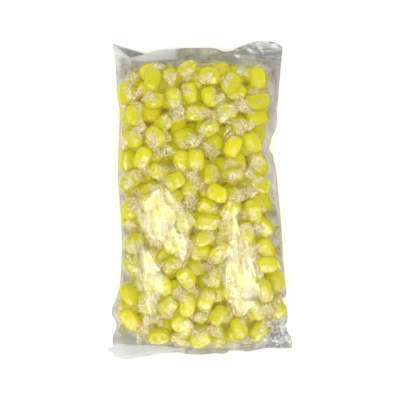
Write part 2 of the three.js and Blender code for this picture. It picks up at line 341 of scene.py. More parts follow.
def candy_points(i, lat, lon):
    """Points on candy i's surface for latitudes along its length and longitudes round it."""
    a, b, c = half_sizes[i]
    lat, lon = np.meshgrid(lat, lon, indexing="ij")
    x = a * power(np.sin(lat), BLUNT)
    y = b * np.cos(lat) ** BLUNT * power(np.cos(lon), ROUND)
    z = c * np.cos(lat) ** BLUNT * power(np.sin(lon), ROUND)
    return np.stack([x, y, z], -1)


def place(i, x, y, z):
    """Points in candy i's own directions, moved to where it lies."""
    return middles[i] + x[..., None] * along[i] + y[..., None] * across[i] + z[..., None] * upward[i]


def repeated(faces, size):
    """One candy's faces again for each candy, size points further on each time."""
    return np.vstack([faces + i * size for i in range(count)])


def build_candies(material):
    """Every candy as one mesh, each a little lopsided, with shallow dents of its own."""
    rings, around = 17, 24
    lat = np.linspace(-math.pi / 2, math.pi / 2, rings) * TO_THE_POLES
    lon = np.arange(around) * 2 * math.pi / around
    points = []
    for i in range(count):
        p = candy_points(i, lat, lon)
        for _ in range(DENTS):
            way = looks.normal(0, 1, 3)
            way /= np.linalg.norm(way)
            reach = (p / half_sizes[i]) @ way
            p = p * (1 - looks.uniform(*DENT_DEPTH) * share(reach, DENT_FROM, DENT_OVER))[..., None]
        points.append(place(i, p[..., 0], p[..., 1], p[..., 2]).reshape(-1, 3))
    points = np.vstack(points)
    points[:, 2] = np.maximum(points[:, 2], CANDY_LOWEST)
    size = rings * around
    faces = repeated(grid_faces(rings, around, wrap=True), size)
    return make_mesh(
        "candies", points, faces, material, values={"tint": np.repeat(looks.uniform(0, 1, count), size)}
    )


# ---- The highest candy surface over the plan, by millimetre ----

FIELD_X, FIELD_Y = np.arange(-100, 100.5, 1.0), np.arange(-170, 170.5, 1.0)
REACH = 13  # beyond any part of a candy, measured from its middle
LEVELS = np.linspace(12.5, -12.5, 51)  # looked at from the top down


def candy_tops():
    """How high the highest candy reaches at each place of the plan, or 0 where there's none."""
    tops = np.zeros((len(FIELD_X), len(FIELD_Y)))
    for i in range(count):
        cx, cy, cz = middles[i]
        xs = np.where(np.abs(FIELD_X - cx) < REACH)[0]
        ys = np.where(np.abs(FIELD_Y - cy) < REACH)[0]
        levels = cz + LEVELS
        gx, gy, gz = np.meshgrid(FIELD_X[xs] - cx, FIELD_Y[ys] - cy, levels - cz, indexing="ij")
        p = np.stack([gx, gy, gz], -1)

        x, y, z = (np.abs(p @ v) / h for v, h in zip((along[i], across[i], upward[i]), half_sizes[i]))
        f = (y ** (2 / ROUND) + z ** (2 / ROUND)) ** (ROUND / BLUNT) + x ** (2 / BLUNT) - 1  # below 0 inside
        hit = (f < 0).any(-1)
        first = np.argmax(f < 0, -1)
        k = np.maximum(first, 1)
        below = np.take_along_axis(f, k[..., None], -1)[..., 0]
        above = np.take_along_axis(f, k[..., None] - 1, -1)[..., 0]
        crossing = np.clip(above / np.where(above == below, 1, above - below), 0, 1)
        height = levels[k - 1] + (levels[k] - levels[k - 1]) * crossing
        block = tops[np.ix_(xs, ys)]
        tops[np.ix_(xs, ys)] = np.where(hit, np.maximum(block, height), block)
    return tops


TOPS = candy_tops()


def field_at(field, x, y):
    """A field's value at places of the plan, read between its millimetres."""
    gx = np.clip(np.asarray(x) - FIELD_X[0], 0, len(FIELD_X) - 1.001)
    gy = np.clip(np.asarray(y) - FIELD_Y[0], 0, len(FIELD_Y) - 1.001)
    ix, iy = gx.astype(int), gy.astype(int)
    fx, fy = gx - ix, gy - iy
    near, far = (lerp(field[ix, iy + k], field[ix + 1, iy + k], fx) for k in (0, 1))
    return lerp(near, far, fy)


# ---- Film ----

# Bands where the film stands clear of the candies and shines: y, middle and half width.
SHINE_BANDS = (
    (
        (-66, -16, 0), (-58, -19, 9), (-48, -26, 17), (-37, -33, 25), (-25, -37, 29), (-12, -40, 28),
        (-2, -42, 24), (6, -41, 16), (14, -37, 7), (22, -33, 0),
    ),
    (
        (-128, -52, 0), (-118, -51, 6), (-106, -49, 9), (-94, -48, 13), (-82, -49, 17),
        (-72, -53, 17), (-62, -55, 12), (-50, -58, 8), (-38, -62, 0),
    ),
    (
        (-124, 46, 0), (-112, 46, 13), (-100, 46, 20), (-88, 44, 21), (-73.5, 42, 19),
        (-59, 41, 17), (-46, 40, 15), (-33.6, 37, 12), (-23, 35, 7.5), (-8, 34, 3.5), (12, 33, 0),
    ),
)
SHEET_RISE = 0.8  # of the taut film over the pillow's own height
COLUMNS, ROWS, SEAL_ROWS = 186, 296, 28
RELAX_PASSES = 900
CREASES, EDGE_SHARE = 260, 0.62  # how many folds and puckers, and the share of them near the sides
SHARD_LEAN, SHARD_STRETCH = 0.25, 2.6


def seal_height(x, on_seal):
    rib = RIB_HEIGHT * np.sin(on_seal * SEAL_RIBS * 2 * math.pi) * np.minimum(1, 4 * on_seal)
    wave = WAVE_HEIGHT * np.sin(x / WAVE_SPAN) * np.sin(x / SWELL_SPAN + SWELL_START)
    return lerp(SEAL_ROOT, SEAL_EDGE, on_seal) + wave * on_seal + rib


def film_grid():
    """Plan positions of the film's points, and how far each is from a seal's root to its edge."""
    u = np.linspace(0, 1, COLUMNS + 1)
    nominal = lerp(-HALF_WIDTH, HALF_WIDTH, u)[None, :]
    low, high = bottom_root(nominal), top_root(nominal)
    t_seal = np.linspace(1, 0, SEAL_ROWS + 1)[:-1, None]
    t_body = np.linspace(0, 1, ROWS + 1)[:, None]
    y = np.vstack([
        lerp(low, bottom_edge(nominal), t_seal),
        lerp(low, high, t_body),
        lerp(high, top_edge(nominal), t_seal[::-1]),
    ])
    on_seal = np.vstack([t_seal, 0 * t_body, t_seal[::-1]]) * np.ones_like(u)[None, :]
    x = lerp(left_fold(y), right_fold(y), u[None, :])
    return x, y, on_seal


def creases(x, y):
    """Folds and puckers in the film: short tents, most of them near its edges."""
    height = np.zeros_like(x)
    draw = np.random.RandomState(52)
    for _ in range(CREASES):
        cy = draw.uniform(-158, 158)
        if draw.uniform() < EDGE_SHARE:
            right = draw.uniform() < 0.5
            inward = draw.uniform(2, 16)
            cx = right_fold(cy) - inward if right else left_fold(cy) + inward
            angle = draw.normal(0, 0.5)
        else:
            cx = draw.uniform(-75, 75)
            angle = draw.uniform(0, math.pi)
        length, width = draw.uniform(6, 20), draw.uniform(0.9, 2.6)
        rise = draw.uniform(0.25, 0.9) * (1 if draw.uniform() < 0.6 else -1)
        c, s = math.cos(angle), math.sin(angle)
        near = (np.abs(x - cx) < length + 3) & (np.abs(y - cy) < length + 3)
        dx, dy = x[near] - cx, y[near] - cy
        on, off = dx * c + dy * s, -dx * s + dy * c
        bend = off + 0.02 * on * on * draw.uniform(-1, 1)
        tent = np.maximum(0, 1 - np.abs(bend) / width) * np.maximum(0, 1 - (on / length) ** 2)
        height[near] += rise * tent
    return height


def crushed(x, y, size, seed):
    """Sharp-edged dents like those of crushed film: 0 on the creases, up to 1 between them."""
    return np.abs(smooth_noise(x, y, size, seed))


def shards(x, y, size, seed):
    """Long leaning cells over the plan, as taut film creases into them.

    Gives the middle of each point's cell, a number of its own from 0 to 1, and 0 to 1 from the
    cell's border inwards.
    """
    u, v = (x + SHARD_LEAN * y) / size, y / (SHARD_STRETCH * size)
    draw = np.random.RandomState(seed)
    middle_u, middle_v, own = draw.uniform(0, 1, (3, LATTICE, LATTICE))
    best = np.full(x.shape, 9.0)  # further than any middle that is looked at
    second = best.copy()
    mu, mv, value = np.zeros_like(best), np.zeros_like(best), np.zeros_like(best)
    for du in (-1, 0, 1):
        for dv in (-1, 0, 1):
            iu, iv = np.floor(u).astype(int) + du, np.floor(v).astype(int) + dv
            cell = iu % LATTICE, iv % LATTICE
            cu, cv = iu + middle_u[cell], iv + middle_v[cell]
            off = np.hypot(u - cu, v - cv)
            nearer = off < best
            second = np.where(nearer, best, np.minimum(second, off))
            mu, mv = np.where(nearer, cu, mu), np.where(nearer, cv, mv)
            value = np.where(nearer, own[cell], value)
            best = np.where(nearer, off, best)
    middle_y = mv * SHARD_STRETCH * size
    return mu * size - SHARD_LEAN * middle_y, middle_y, value, np.clip((second - best) * 3, 0, 1)


def relax(heights, least, free, passes):
    """The film's heights once it has drawn itself flat over whatever holds it up."""
    for _ in range(passes):
        mean = (heights[:-2, 1:-1] + heights[2:, 1:-1] + heights[1:-1, :-2] + heights[1:-1, 2:]) / 4
        inner = np.maximum(mean, least[1:-1, 1:-1])
        heights[1:-1, 1:-1] = np.where(free[1:-1, 1:-1], inner, heights[1:-1, 1:-1])
    return heights


def band_share(band, x, y, spread, soft):
    """1 inside a band, 0 outside it; spread widens it and soft is the width of its edge."""
    rows = np.array(band, float)
    centre, half = np.interp(y, rows[:, 0], rows[:, 1]), np.interp(y, rows[:, 0], rows[:, 2])
    inside = (y > rows[0, 0] - spread) & (y < rows[-1, 0] + spread)
    t = np.clip((half + spread - np.abs(x - centre)) / soft, 0, 1)
    return inside * t * t * (3 - 2 * t)


def near_bands(x, y, spread=7, soft=17):
    """How far a place is inside any of the bands, from 0 to 1."""
    return np.maximum.reduce([band_share(band, x, y, spread, soft) for band in SHINE_BANDS])


def grown(field, reach):
    """Each place takes the highest value within reach of it."""
    out = field.copy()
    for _ in range(reach):
        wide = np.pad(out, 1, mode="edge")
        out = np.maximum.reduce([out, wide[2:, 1:-1], wide[:-2, 1:-1], wide[1:-1, 2:], wide[1:-1, :-2]])
    return out


def blurred(field, passes):
    """Each place takes the mean of itself, counted twice, and its four neighbours."""
    out = field
    for _ in range(passes):
        wide = np.pad(out, 1, mode="edge")
        out = (wide[2:, 1:-1] + wide[:-2, 1:-1] + wide[1:-1, 2:] + wide[1:-1, :-2] + 2 * out) / 6
    return out


film_x, film_y, film_seal = film_grid()
is_body = film_seal == 0
is_body[:, [0, -1]] = False
is_body[[SEAL_ROWS, SEAL_ROWS + ROWS], :] = False
fold = np.where(film_seal > 0, seal_height(film_x, film_seal), fold_height(film_y))
ceiling = ceiling_height(film_x, film_y)
support = np.maximum(field_at(TOPS, film_x, film_y) + FILM_GAP, ceiling - SLACK)
least = np.where(is_body, np.maximum(fold, support), fold)
film_top = relax(least.copy(), least, is_body, RELAX_PASSES)

# Where the taut film mirrors the lights. It does so in leaning shards, large and small, and in streaks.
taut = near_bands(film_x, film_y, 4, 9)
streak = smooth_noise(film_x, film_y / 9, 1.9, 21)
big_x, big_y, big, big_inside = shards(film_x, film_y, 10, 41)
small_x, small_y, small, _ = shards(film_x + 3, film_y, 3.6, 42)
near_band = lerp(near_bands(big_x, big_y), near_bands(film_x, film_y), 0.5)
shine = np.clip(2.3 * near_band - 0.15 - 1.7 * small - 0.4 * streak, 0, 1)
shine *= lerp(0.25, 1.12, np.clip(0.65 * big + 0.55 * (1 - small), 0, 1)) + 0.08 * streak
# A cream milkiness in small shards of the bands: painted glare, standing in for the lamps' reflection in the
# taut film.
painted_glare = near_bands(small_x, small_y) * np.clip(3 * small - 2, 0, 1) * (0.8 + 0.3 * streak)

# Where the film has no candy under it, and how it is crumpled there.
COVERED = blurred(grown((TOPS > 0).astype(float), 4), 12)
empty = np.maximum(1 - field_at(COVERED, film_x, film_y), film_seal > 0)
slope = np.where(np.abs(film_y) > 135, 0.8, 1.9)  # creases run along the sides, and across the ends
dents = crushed(film_x * slope, film_y / slope, 9, 8) + 0.5 * crushed(film_x * slope, film_y / slope, 4, 9)
right_corners = share(film_x, 55, 20) * (np.abs(film_y) > 128)
crush = 1.7 + 2.6 * right_corners
crumple = creases(film_x, film_y) + 0.3 * smooth_noise(film_x, film_y, 5.0, 3) + crush * empty * dents

# Above 0 where badly crushed film gets painted shade in dark spots and lines, and below 0 where it gets
# painted glints; the right margin is also darker, evenly.
low_corner = share(film_x, 60, 14) * share(film_y, -122, -10)
high_corner = share(film_x, 18, 20) * share(film_y, 146, 4)
right_margin = share(film_x, 70, 8) * (film_y > -120) * (film_seal == 0)
fine = smooth_noise(film_x, film_y, 1.3, 31) + 0.6 * smooth_noise(film_x, film_y, 3.1, 32)
lines = smooth_noise(film_x / 6, film_y, 1.5, 33) + 0.5 * smooth_noise(film_x / 2, film_y, 2.2, 36)
# White specks on the crushed top corner: painted glints, standing in for the lamps' reflection.
glints = np.clip(4 * smooth_noise(film_x / 2 + film_y / 3, film_y, 3.0, 34) - 1.6, 0, 1)
darkening_and_painted_glints = low_corner * (0.1 + 1.5 * fine) + high_corner * (0.75 * lines + 0.26 - 1.3 * glints)
darkening_and_painted_glints = darkening_and_painted_glints + (0.2 + 0.35 * share(film_y, 20, 40)) * right_margin
clear_of_painted_candy_light = share(np.abs(film_x), 42, 16)  # the film between its corners is tinted yellow: painted light from the candies
rim = np.clip(1.3 - side_distance(film_x, film_y), 0, 1) + (film_seal > 0.93)

# The film's height: lumpy over the candies, and a nearly flat sheet where it is taut.
off_the_folds = np.clip(side_distance(film_x, film_y) / 3, 0, 1)
lumpy = np.maximum(film_top + crumple * off_the_folds, least - 0.5)
tension = 0.07 * (1 - big_inside) + 0.12 * smooth_noise(film_x + 0.2 * film_y, film_y / 9, 4, 25)
sheet = np.maximum(ceiling + SHEET_RISE + 0.1 * crumple + tension, least)
film_top = np.where(is_body, lerp(lumpy, sheet, taut), film_top + 0.3 * crumple * film_seal)

FILM_FIELD = np.zeros((len(FIELD_X), len(FIELD_Y)))  # the same heights, by millimetre
for j in range(len(FIELD_Y)):
    row = np.argmin(np.abs(film_y[:, COLUMNS // 2] - FIELD_Y[j]))
    FILM_FIELD[:, j] = np.interp(FIELD_X, film_x[row], film_top[row])


def build_film(material):
    """The bag's face: its front film, with both end seals."""
    # The seals are paler left of the back seam's line: a painted highlight, as that half faces the lamps.
    left_of_seam = 1 / (1 + np.exp((film_x - seam_line(film_y)) / 0.7))
    ribs = (film_seal > 0) * (0.5 - 0.5 * np.sin(film_seal * SEAL_RIBS * 2 * math.pi))
    ribs = ribs * np.where(film_y > 0, share(film_x, 45, -20), 1)  # the humped corner isn't crimped
    points = np.stack([film_x, film_y, film_top], -1).reshape(-1, 3)
    return make_mesh(
        "bag_film", points, grid_faces(*film_x.shape), material,
        values={
            "empty": empty, "seal": np.clip(film_seal / 0.2, 0, 1), "pale": left_of_seam, "shine": shine,
            "painted_glare": painted_glare, "rib": ribs, "dent": dents, "darkening_and_painted_glints": darkening_and_painted_glints, "rim": rim, "clear_of_painted_candy_light": clear_of_painted_candy_light,
        },
    )


SEAM_WIDTH = 13


def seam_line(y):
    """Where the fold of the seam down the back runs, from end to end."""
    return lerp(-16.5, -25, (y + 161) / 318)


def build_back(material):
    """The bag's underside, flat on the table and rising to the folds, with its ply of the seals."""
    step = 3
    x, y = film_x[::step, ::step], film_y[::step, ::step]
    seal = film_seal[::step, ::step]
    low = np.where(seal > 0, seal_height(x, seal) - 0.3, floor_height(x, y))
    low = np.maximum(0.15, low + 0.12 * smooth_noise(x, y, 6.0, 9) * (seal == 0))
    points = np.stack([x, y, low], -1).reshape(-1, 3)
    return make_mesh(
        "bag_back", points, grid_faces(*x.shape), material, values={"empty": empty[::step, ::step]}
    )


def build_seam(material):
    """The seam down the bag's back, a strip pressed flat to one side."""
    y = np.linspace(-161, 157, 160)[:, None]
    across_strip = np.array([0, 0.34, 0.67, 1.0])
    x = seam_line(y) - SEAM_WIDTH * across_strip + 0.3 * smooth_noise(y, 0 * across_strip, 11, 4)
    yy = np.repeat(y, len(across_strip), 1)
    low = floor_height(x, yy)
    on = np.maximum(np.clip((yy - top_root(x)) / 12, 0, 1), np.clip((bottom_root(x) - yy) / 10, 0, 1))
    z = np.where(on > 0, seal_height(x, on) - 0.8, np.maximum(0.12, low - 0.4))
    points = np.stack([x, yy, z], -1).reshape(-1, 3)
    bare = np.maximum(1 - field_at(COVERED, x, yy), on > 0)
    return make_mesh("back_seam", points, grid_faces(*x.shape), material, values={"empty": bare})


def build_corner_fold(material):
    """The bag's top left corner, folded over on its seal into a narrow triangle."""
    tip, low_end, far = np.array([[-91.4, 164.6], [-73.0, 149.6], [-57.0, 154.4]])
    out, t = np.meshgrid(np.linspace(0, 1, 13), np.linspace(0, 1, 9), indexing="ij")
    plan = lerp(tip, lerp(low_end, far, t[..., None]), out[..., None])
    x, y = plan[..., 0], plan[..., 1]
    on = np.clip((y - top_root(x)) / (top_edge(x) - top_root(x)), 0, 1)
    z = seal_height(x, on) + 1.6 + 0.5 * crushed(x, y, 3.0, 12)
    points = np.stack([x, y, z], -1).reshape(-1, 3)
    return make_mesh("corner_fold", points, grid_faces(*x.shape), material)


# ---- Wrappers ----

GLINT_WAY = (0.0, -0.45, 0.89)  # which way the facets face that get a painted highlight
SLEEVE_GAP, NECK_SHARE = 0.8, 0.11  # the sleeve's clearance, and its neck's share of its full radius
SLEEVE_RINGS = np.array([-1.0, -0.88, -0.66, -0.3, 0.05, 0.35, 0.68, 0.88, 1.0])
FINE_FAN, COARSE_FAN = (42, 10), (14, 5)  # points round and along a twist that is seen, or buried


def face_normals(points, faces):
    corner = points[faces]
    normal = np.cross(corner[:, 1] - corner[:, 0], corner[:, 2] - corner[:, 0])
    return normal / np.maximum(np.linalg.norm(normal, axis=1, keepdims=True), 1e-9)


def build_wrapper_films(material):
    """A sleeve of film round each candy, stretched into flat facets and gathered at either end.

    glint is a painted highlight: high on the facets that face the low lights, most of them on the candy's
    near side, and faint on a few others at random.
    """
    around, t = 11, SLEEVE_RINGS
    gather = share(np.abs(t)[:, None], 0.7, 0.3)
    turn = np.where(t > 0, gather[:, 0], -gather[:, 0])[:, None]
    points = []
    for i in range(count):
        lon = (np.arange(around) + looks.uniform(-0.3, 0.3, around)) * 2 * math.pi / around
        lon = lon + looks.uniform(0, 6.28)
        a, b, c = half_sizes[i] + SLEEVE_GAP
        along_t = t + np.pad(looks.uniform(-0.05, 0.05, len(t) - 2), 1)
        x = (NECK_REACH + SLEEVE_GAP) * along_t[:, None] * np.ones(around)
        body = np.maximum(1 - np.minimum(np.abs(x) / (a + 0.9), 1) ** (2 / BLUNT), 0) ** (BLUNT / 2)
        size = np.maximum(body, NECK_SHARE)
        angle = lon[None, :] + looks.uniform(0.4, 1.2) * turn
        jitter = 1.03 + 0.05 * looks.uniform(-1, 1, (len(t), around)) * (1 - gather)
        y = b * size * jitter * power(np.cos(angle), ROUND)
        z = c * size * jitter * power(np.sin(angle), ROUND)
        points.append(place(i, x, y, z).reshape(-1, 3))
    size = len(t) * around
    points = np.vstack(points)
    points[:, 2] = np.maximum(points[:, 2], SLEEVE_LOWEST)
    faces = repeated(triangles(grid_faces(len(t), around, wrap=True)), size)
    normals = face_normals(points, faces)
    outward = points[faces].mean(1) - middles[faces[:, 0] // size]
    normals *= np.where((outward * normals).sum(1) < 0, -1, 1)[:, None]
    low_half = share(points[faces[:, 0], 1], 30, -60)  # more of them nearer the bottom seal
    off = np.linalg.norm(normals - np.array(GLINT_WAY), axis=1)
    near = np.clip(1 - off / (0.4 + 0.25 * low_half), 0, 1)
    draw = looks.uniform(0, 1, len(faces))
    glint = np.where(draw < 0.5 + 0.25 * low_half, near**0.6, 0)
    glint += np.where(draw > 0.8, looks.uniform(0.05, 0.4, len(faces)), 0)
    return make_mesh(
        "wrapper_films", points, faces, material, smooth=False, face_values={"glint": np.clip(glint, 0, 1)}
    )


def fan(i, end, seen):
    """One end of candy i's wrapper: a grid of points from the twist out to the cut edge."""
    around, steps = FINE_FAN if seen else COARSE_FAN
    t = np.linspace(0, 1, steps)[:, None]
    lon = np.arange(around)[None, :] * 2 * math.pi / around
    out = end * along[i]
    root = middles[i] + out * (NECK_REACH + 0.6)
    length, half_width = looks.uniform(10.5, 15), looks.uniform(8, 11.5)
    turn, lift = looks.normal(0, 0.5), looks.uniform(-0.3, 0.3)
    if seen:
        lift = looks.uniform(0.1, 0.7)
    flat = math.atan2(out[1], out[0]) + turn
    axis = np.array([math.cos(flat) * math.cos(lift), math.sin(flat) * math.cos(lift), math.sin(lift)])
    side = np.array([-math.sin(flat), math.cos(flat), 0])
    normal = np.cross(axis, side)
    spread = 0.8 + (half_width - 0.8) * t**0.65
    reach = 1 + 0.10 * np.cos(2 * lon) + looks.uniform(-0.09, 0.09, (1, around)) * t
    px = length * t * reach - 0.18 * length * t**3 * np.abs(np.cos(lon)) ** 2
    py = spread * np.cos(lon) * (1 + looks.uniform(-0.10, 0.10, (steps, around)) * t)
    pz = spread * 0.34 * np.sin(lon)
    p = root + px[..., None] * axis + py[..., None] * side + pz[..., None] * normal
    x, y, z = p[..., 0], p[..., 1], p[..., 2]
    ray = looks.uniform(-1, 1, (1, around))
    crinkle = (1.15 * ray + 0.75 * looks.uniform(-1, 1, (steps, around))) * np.sqrt(t)
    right_gap = 2 + np.clip((y + 30) / 10, 0, 5.5)  # wider in the upper half, as the margin is
    x = np.clip(x, left_fold(y) + 3.5, right_fold(y) - right_gap)
    y = np.clip(y, bottom_root(x) + 1.5, top_root(x) - 1.5)
    roof, base = field_at(FILM_FIELD, x, y) - 0.3, np.maximum(floor_height(x, y) + 0.5, 0.6)
    if seen:
        base = np.maximum(base, np.where(t > 0.2, field_at(TOPS, x, y) + 0.35, 0))
        z = lerp(z, np.maximum(z, roof - 2.5), np.clip(1.4 * t, 0, 1) * 0.7)
    deep = np.minimum(1.5, np.maximum(0.1, (roof - base) / 2))
    z = np.minimum(np.maximum(z, base + deep), roof - deep) + crinkle * deep / 2.3
    return np.stack([x, y, z], -1).reshape(-1, 3), grid_faces(steps, around, wrap=True), ray, steps


def build_wrapper_twists(material):
    """The crumpled fan of film past each twist, lying over its neighbours where it's on top.

    Each facet is clear or milky, with a painted highlight or painted shade, by its own draw and that of its
    pleat.
    """
    points, faces, facets, tints, depths, rims = [], [], [], [], [], []
    first = 0
    for i in range(count):
        for end in (-1, 1):
            root = middles[i] + end * along[i] * (NECK_REACH + 0.6)
            seen = field_at(TOPS, root[0], root[1]) < root[2] + 3
            grid, quads, ray, steps = fan(i, end, seen)
            pleat = np.repeat(ray, steps - 1, 0).ravel()
            facet = 0.5 + 0.2 * pleat + 0.38 * looks.uniform(-1, 1, len(quads))
            points.append(grid)
            faces.append(quads + first)
            first += len(grid)
            facets.append(np.clip(facet, 0, 1))
            rims.append(np.repeat(np.linspace(0, 1, steps - 1) ** 2, len(ray[0])))
            tints.append(np.full(len(quads), looks.uniform()))
            depths.append(np.full(len(quads), float(not seen)))
    return make_mesh(
        "wrapper_twists", np.vstack(points), np.vstack(faces), material, smooth=False,
        face_values={
            "facet": np.concatenate(facets), "tint": np.concatenate(tints),
            "deep": np.concatenate(depths), "rim": np.concatenate(rims),
        },
    )


# ---- Materials ----

def srgb(r, g, b):
    """A colour as it looks on screen, 0 to 255, as a shader's linear colour."""
    return (*[((v / 255 + 0.055) / 1.055) ** 2.4 if v > 10 else v / 255 / 12.92 for v in (r, g, b)], 1)


class Shader:
    """A material's node tree, with short ways to add to it."""

    def __init__(self, name):
        self.material = bpy.data.materials.new(name)
        self.material.use_nodes = True
        self.tree = self.material.node_tree
        self.tree.nodes.clear()
        self.output = self.tree.nodes.new("ShaderNodeOutputMaterial")

    def add(self, kind, links=None, **settings):
        node = self.tree.nodes.new(kind)
        for key, value in settings.items():
            setattr(node, key, value)
        for key, value in (links or {}).items():
            socket = node.inputs[key]
            if isinstance(value, bpy.types.NodeSocket):
                self.tree.links.new(value, socket)
            else:
                socket.default_value = value
        return node

    def finish(self, shader):
        self.tree.links.new(shader, self.output.inputs["Surface"])
        return self.material

    def noise(self, scale, detail=3.0, rough=0.6):
        place_at = self.add("ShaderNodeTexCoord")
        node = self.add(
            "ShaderNodeTexNoise",
            {"Vector": place_at.outputs["Object"], "Scale": scale, "Detail": detail, "Roughness": rough},
        )
        return node.outputs["Fac"]

    def attribute(self, name):
        return self.add("ShaderNodeAttribute", attribute_name=name).outputs["Fac"]

    def ramp(self, fac, stops):
        node = self.add("ShaderNodeValToRGB", {"Fac": fac})
        ramp = node.color_ramp
        while len(ramp.elements) < len(stops):
            ramp.elements.new(0.5)
        for element, (at, color) in zip(ramp.elements, stops):
            element.position = at
            element.color = color
        return node.outputs["Color"]

    def greys(self, fac, stops):
        return self.ramp(fac, [(at, (value, value, value, 1)) for at, value in stops])

    def math(self, operation, a, b):
        return self.add("ShaderNodeMath", {0: a, 1: b}, operation=operation).outputs[0]

    def plus(self, *terms):
        total = terms[0]
        for term in terms[1:]:
            total = self.math("ADD", total, term)
        return total

    def minus(self, a, b):
        return self.math("SUBTRACT", a, b)

    def times(self, a, b):
        return self.math("MULTIPLY", a, b)

    def facing(self, blend, **links):
        """0 where the surface faces the eye, 1 where it is seen edge on."""
        return self.add("ShaderNodeLayerWeight", {"Blend": blend, **links}).outputs["Facing"]

    def blend(self, fac, a, b, kind="MIX"):
        """A colour between two, or with kind MULTIPLY one darkened by the other."""
        return self.add(
            "ShaderNodeMix", {0: fac, 6: a, 7: b}, data_type="RGBA", blend_type=kind
        ).outputs[2]

    def mix(self, fac, a, b):
        return self.add("ShaderNodeMixShader", {0: fac, 1: a, 2: b}).outputs[0]

    def bump(self, height, distance, strength=1.0):
        return self.add(
            "ShaderNodeBump", {"Height": height, "Distance": distance, "Strength": strength}
        ).outputs["Normal"]


def candy_material():
    """Boiled sugar: yellow, lit through a little, with a faint unevenness, and a painted glow that stands in
    for light passing through the candies.
    """
    s = Shader("candy")
    color = s.ramp(
        s.attribute("tint"), [(0, srgb(142, 142, 1)), (0.5, srgb(158, 156, 2)), (1, srgb(176, 171, 8))]
    )
    normal = s.bump(s.noise(260, 2), 0.0006, 0.25)
    body = s.add(
        "ShaderNodeBsdfPrincipled",
        {
            "Base Color": color, "Roughness": 0.3, "Normal": normal, "Specular IOR Level": 0.1,
            "Subsurface Weight": 0.4, "Subsurface Radius": (1.0, 0.9, 0.05), "Subsurface Scale": 0.005,
            # Painted glow: the emission stands in for light passing through the candies and lifts the shade
            # between them.
            "Emission Color": srgb(212, 202, 2), "Emission Strength": 0.39,
        },
    )
    return s.finish(body.outputs[0])


FACING_GLOSS, MOST_GLOSS = 0.04, 0.75  # how much clear film mirrors face on, and at the very most


def clear_film(s, clear, milk_color, milk, shine, rough, normal, lit_through=0.5):
    """Clear film: see-through, with a little milkiness and a mirror that grows with slant."""
    see = s.add("ShaderNodeBsdfTransparent", {"Color": clear}).outputs[0]
    front = s.add("ShaderNodeBsdfDiffuse", {"Color": milk_color, "Normal": normal}).outputs[0]
    back = s.add("ShaderNodeBsdfTranslucent", {"Color": milk_color, "Normal": normal}).outputs[0]
    mirror = s.add(
        "ShaderNodeBsdfGlossy", {"Color": (1, 1, 1, 1), "Roughness": rough, "Normal": normal}
    ).outputs[0]
    slant = s.math("POWER", s.facing(0.5, Normal=normal), 5.0)
    gloss = s.plus(FACING_GLOSS, s.times(slant, 1 - FACING_GLOSS))
    body = s.mix(milk, see, s.mix(lit_through, front, back))
    return s.mix(s.math("MINIMUM", s.times(gloss, shine), MOST_GLOSS), body, mirror)


def bag_material():
    """The front film: clear over the candies, greyer where it lies on nothing, with painted highlights on
    its seals' left halves, painted glare where it is taut, and painted glints and shade where it is crushed.
    """
    s = Shader("film")
    empty, seal, dent, darkening_and_painted_glints = (s.attribute(name) for name in ("empty", "seal", "dent", "darkening_and_painted_glints"))
    pale, rib, painted_glare = (s.attribute(name) for name in ("pale", "rib", "painted_glare"))
    normal = s.bump(s.noise(300, 3, 0.6), 0.0004, 0.4)
    # Painted highlight: the seals' left halves, facing the lamps, are whiter and less dim.
    pale_seal = s.times(seal, pale)
    dim = s.plus(s.times(empty, s.minus(1.5, dent)), s.times(s.times(seal, rib), 0.6))
    dim = s.times(dim, s.minus(1.0, s.times(pale_seal, 0.45)))
    # Painted shade on crushed film, and a darker outline.
    dim = s.plus(dim, s.math("MAXIMUM", darkening_and_painted_glints, 0.0), s.times(s.attribute("rim"), 0.4))
    depth = s.times(dim, 0.5)
    neutral = s.ramp(depth, [
        (0, (0.985, 0.985, 0.98, 1)), (0.45, (0.65, 0.655, 0.665, 1)), (1, (0.36, 0.365, 0.385, 1)),
    ])
    # Painted light from the candies: the film between the corners tinted yellow as it darkens.
    tinted = s.ramp(depth, [
        (0, (0.985, 0.985, 0.975, 1)), (0.45, (0.62, 0.625, 0.555, 1)), (1, (0.34, 0.345, 0.29, 1)),
    ])
    clear = s.blend(s.attribute("clear_of_painted_candy_light"), tinted, neutral)
    white = s.times(pale_seal, s.plus(0.4, s.times(rib, 0.3)))
    crease = s.greys(dent, [(0, 0.30), (0.09, 0)])
    # Painted glints: crushed film made milky white where it would catch the lamps.
    bright = s.math("MAXIMUM", s.times(darkening_and_painted_glints, -0.9), 0.0)
    # Painted glare: the cream milk in the bands, and its colour, stand in for the lamps' reflection.
    milk = s.plus(0.004, white, s.times(crease, empty), s.times(painted_glare, 0.3), bright)
    milk_color = s.ramp(painted_glare, [(0, (0.61, 0.64, 0.69, 1)), (0.05, srgb(244, 232, 208))])
    shine = s.plus(0.18, s.times(s.attribute("shine"), 4.2), empty)
    return s.finish(clear_film(s, clear, milk_color, milk, shine, 0.13, normal, 0.2))


def back_material():
    """The back film: yellow where candies lie on it, painted light that stands in for their light passing
    through, and grey where nothing does.
    """
    s = Shader("film_back")
    normal = s.bump(s.noise(200, 3, 0.6), 0.0004, 0.6)
    empty = s.attribute("empty")
    clear = s.ramp(empty, [(0.08, (0.86, 0.80, 0.2, 1)), (0.45, (0.84, 0.84, 0.82, 1))])
    milk_color = s.ramp(empty, [(0.08, (0.8, 0.74, 0.1, 1)), (0.45, (0.85, 0.85, 0.84, 1))])
    return s.finish(clear_film(s, clear, milk_color, 0.05, 0.8, 0.2, normal))


